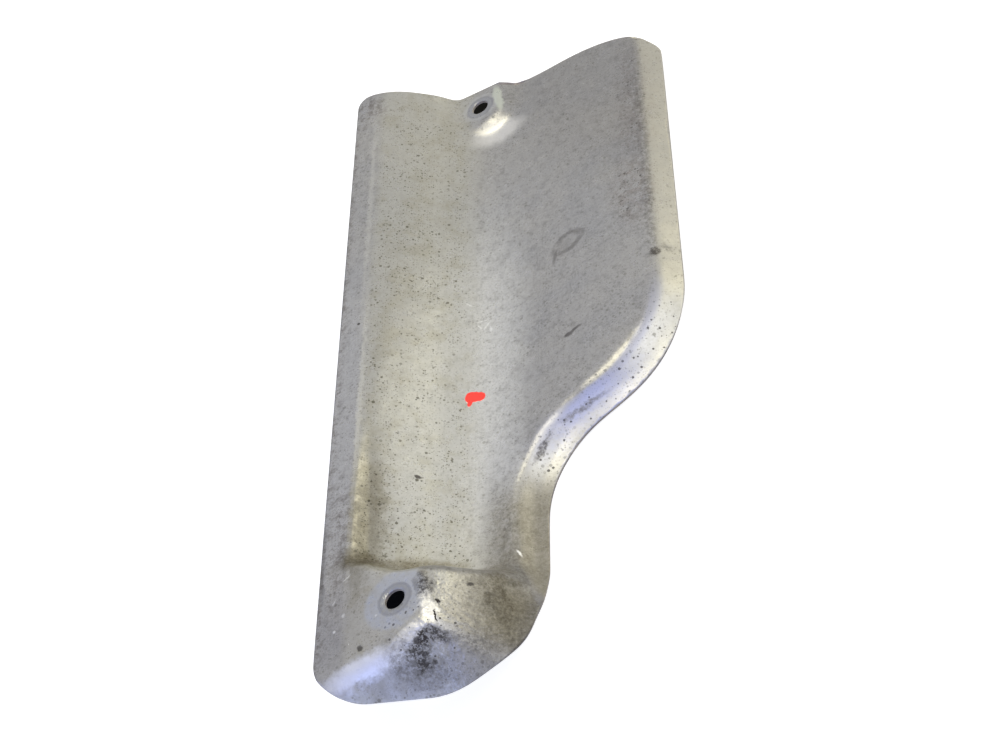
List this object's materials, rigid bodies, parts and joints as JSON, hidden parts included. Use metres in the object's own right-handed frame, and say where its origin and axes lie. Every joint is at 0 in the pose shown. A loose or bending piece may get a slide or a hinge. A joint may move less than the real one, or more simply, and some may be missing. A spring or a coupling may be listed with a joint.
{
  "type": "steering gear heat shield",
  "caption": "Pressed aluminium heat shield for a steering gear: a long open trough with a flange, an S-shaped free edge, a lip, and a hump and pad that take the bolts.",
  "frame": {"origin": "centre of the lower bolt hole, on the outer face of its pad", "axes": "+Y runs along the straight flanged edge towards the open end of the trough, +Z is the pad's outward normal and points out of the trough, +X points to the free edge"},
  "size_m": [0.1182, 0.286, 0.0324],
  "materials": {
    "sheet": "dull pressed sheet, weathered and stained"
  },
  "bodies": {
    "root": {"heat_shield": "sheet"}
  },
  "joints": []
}
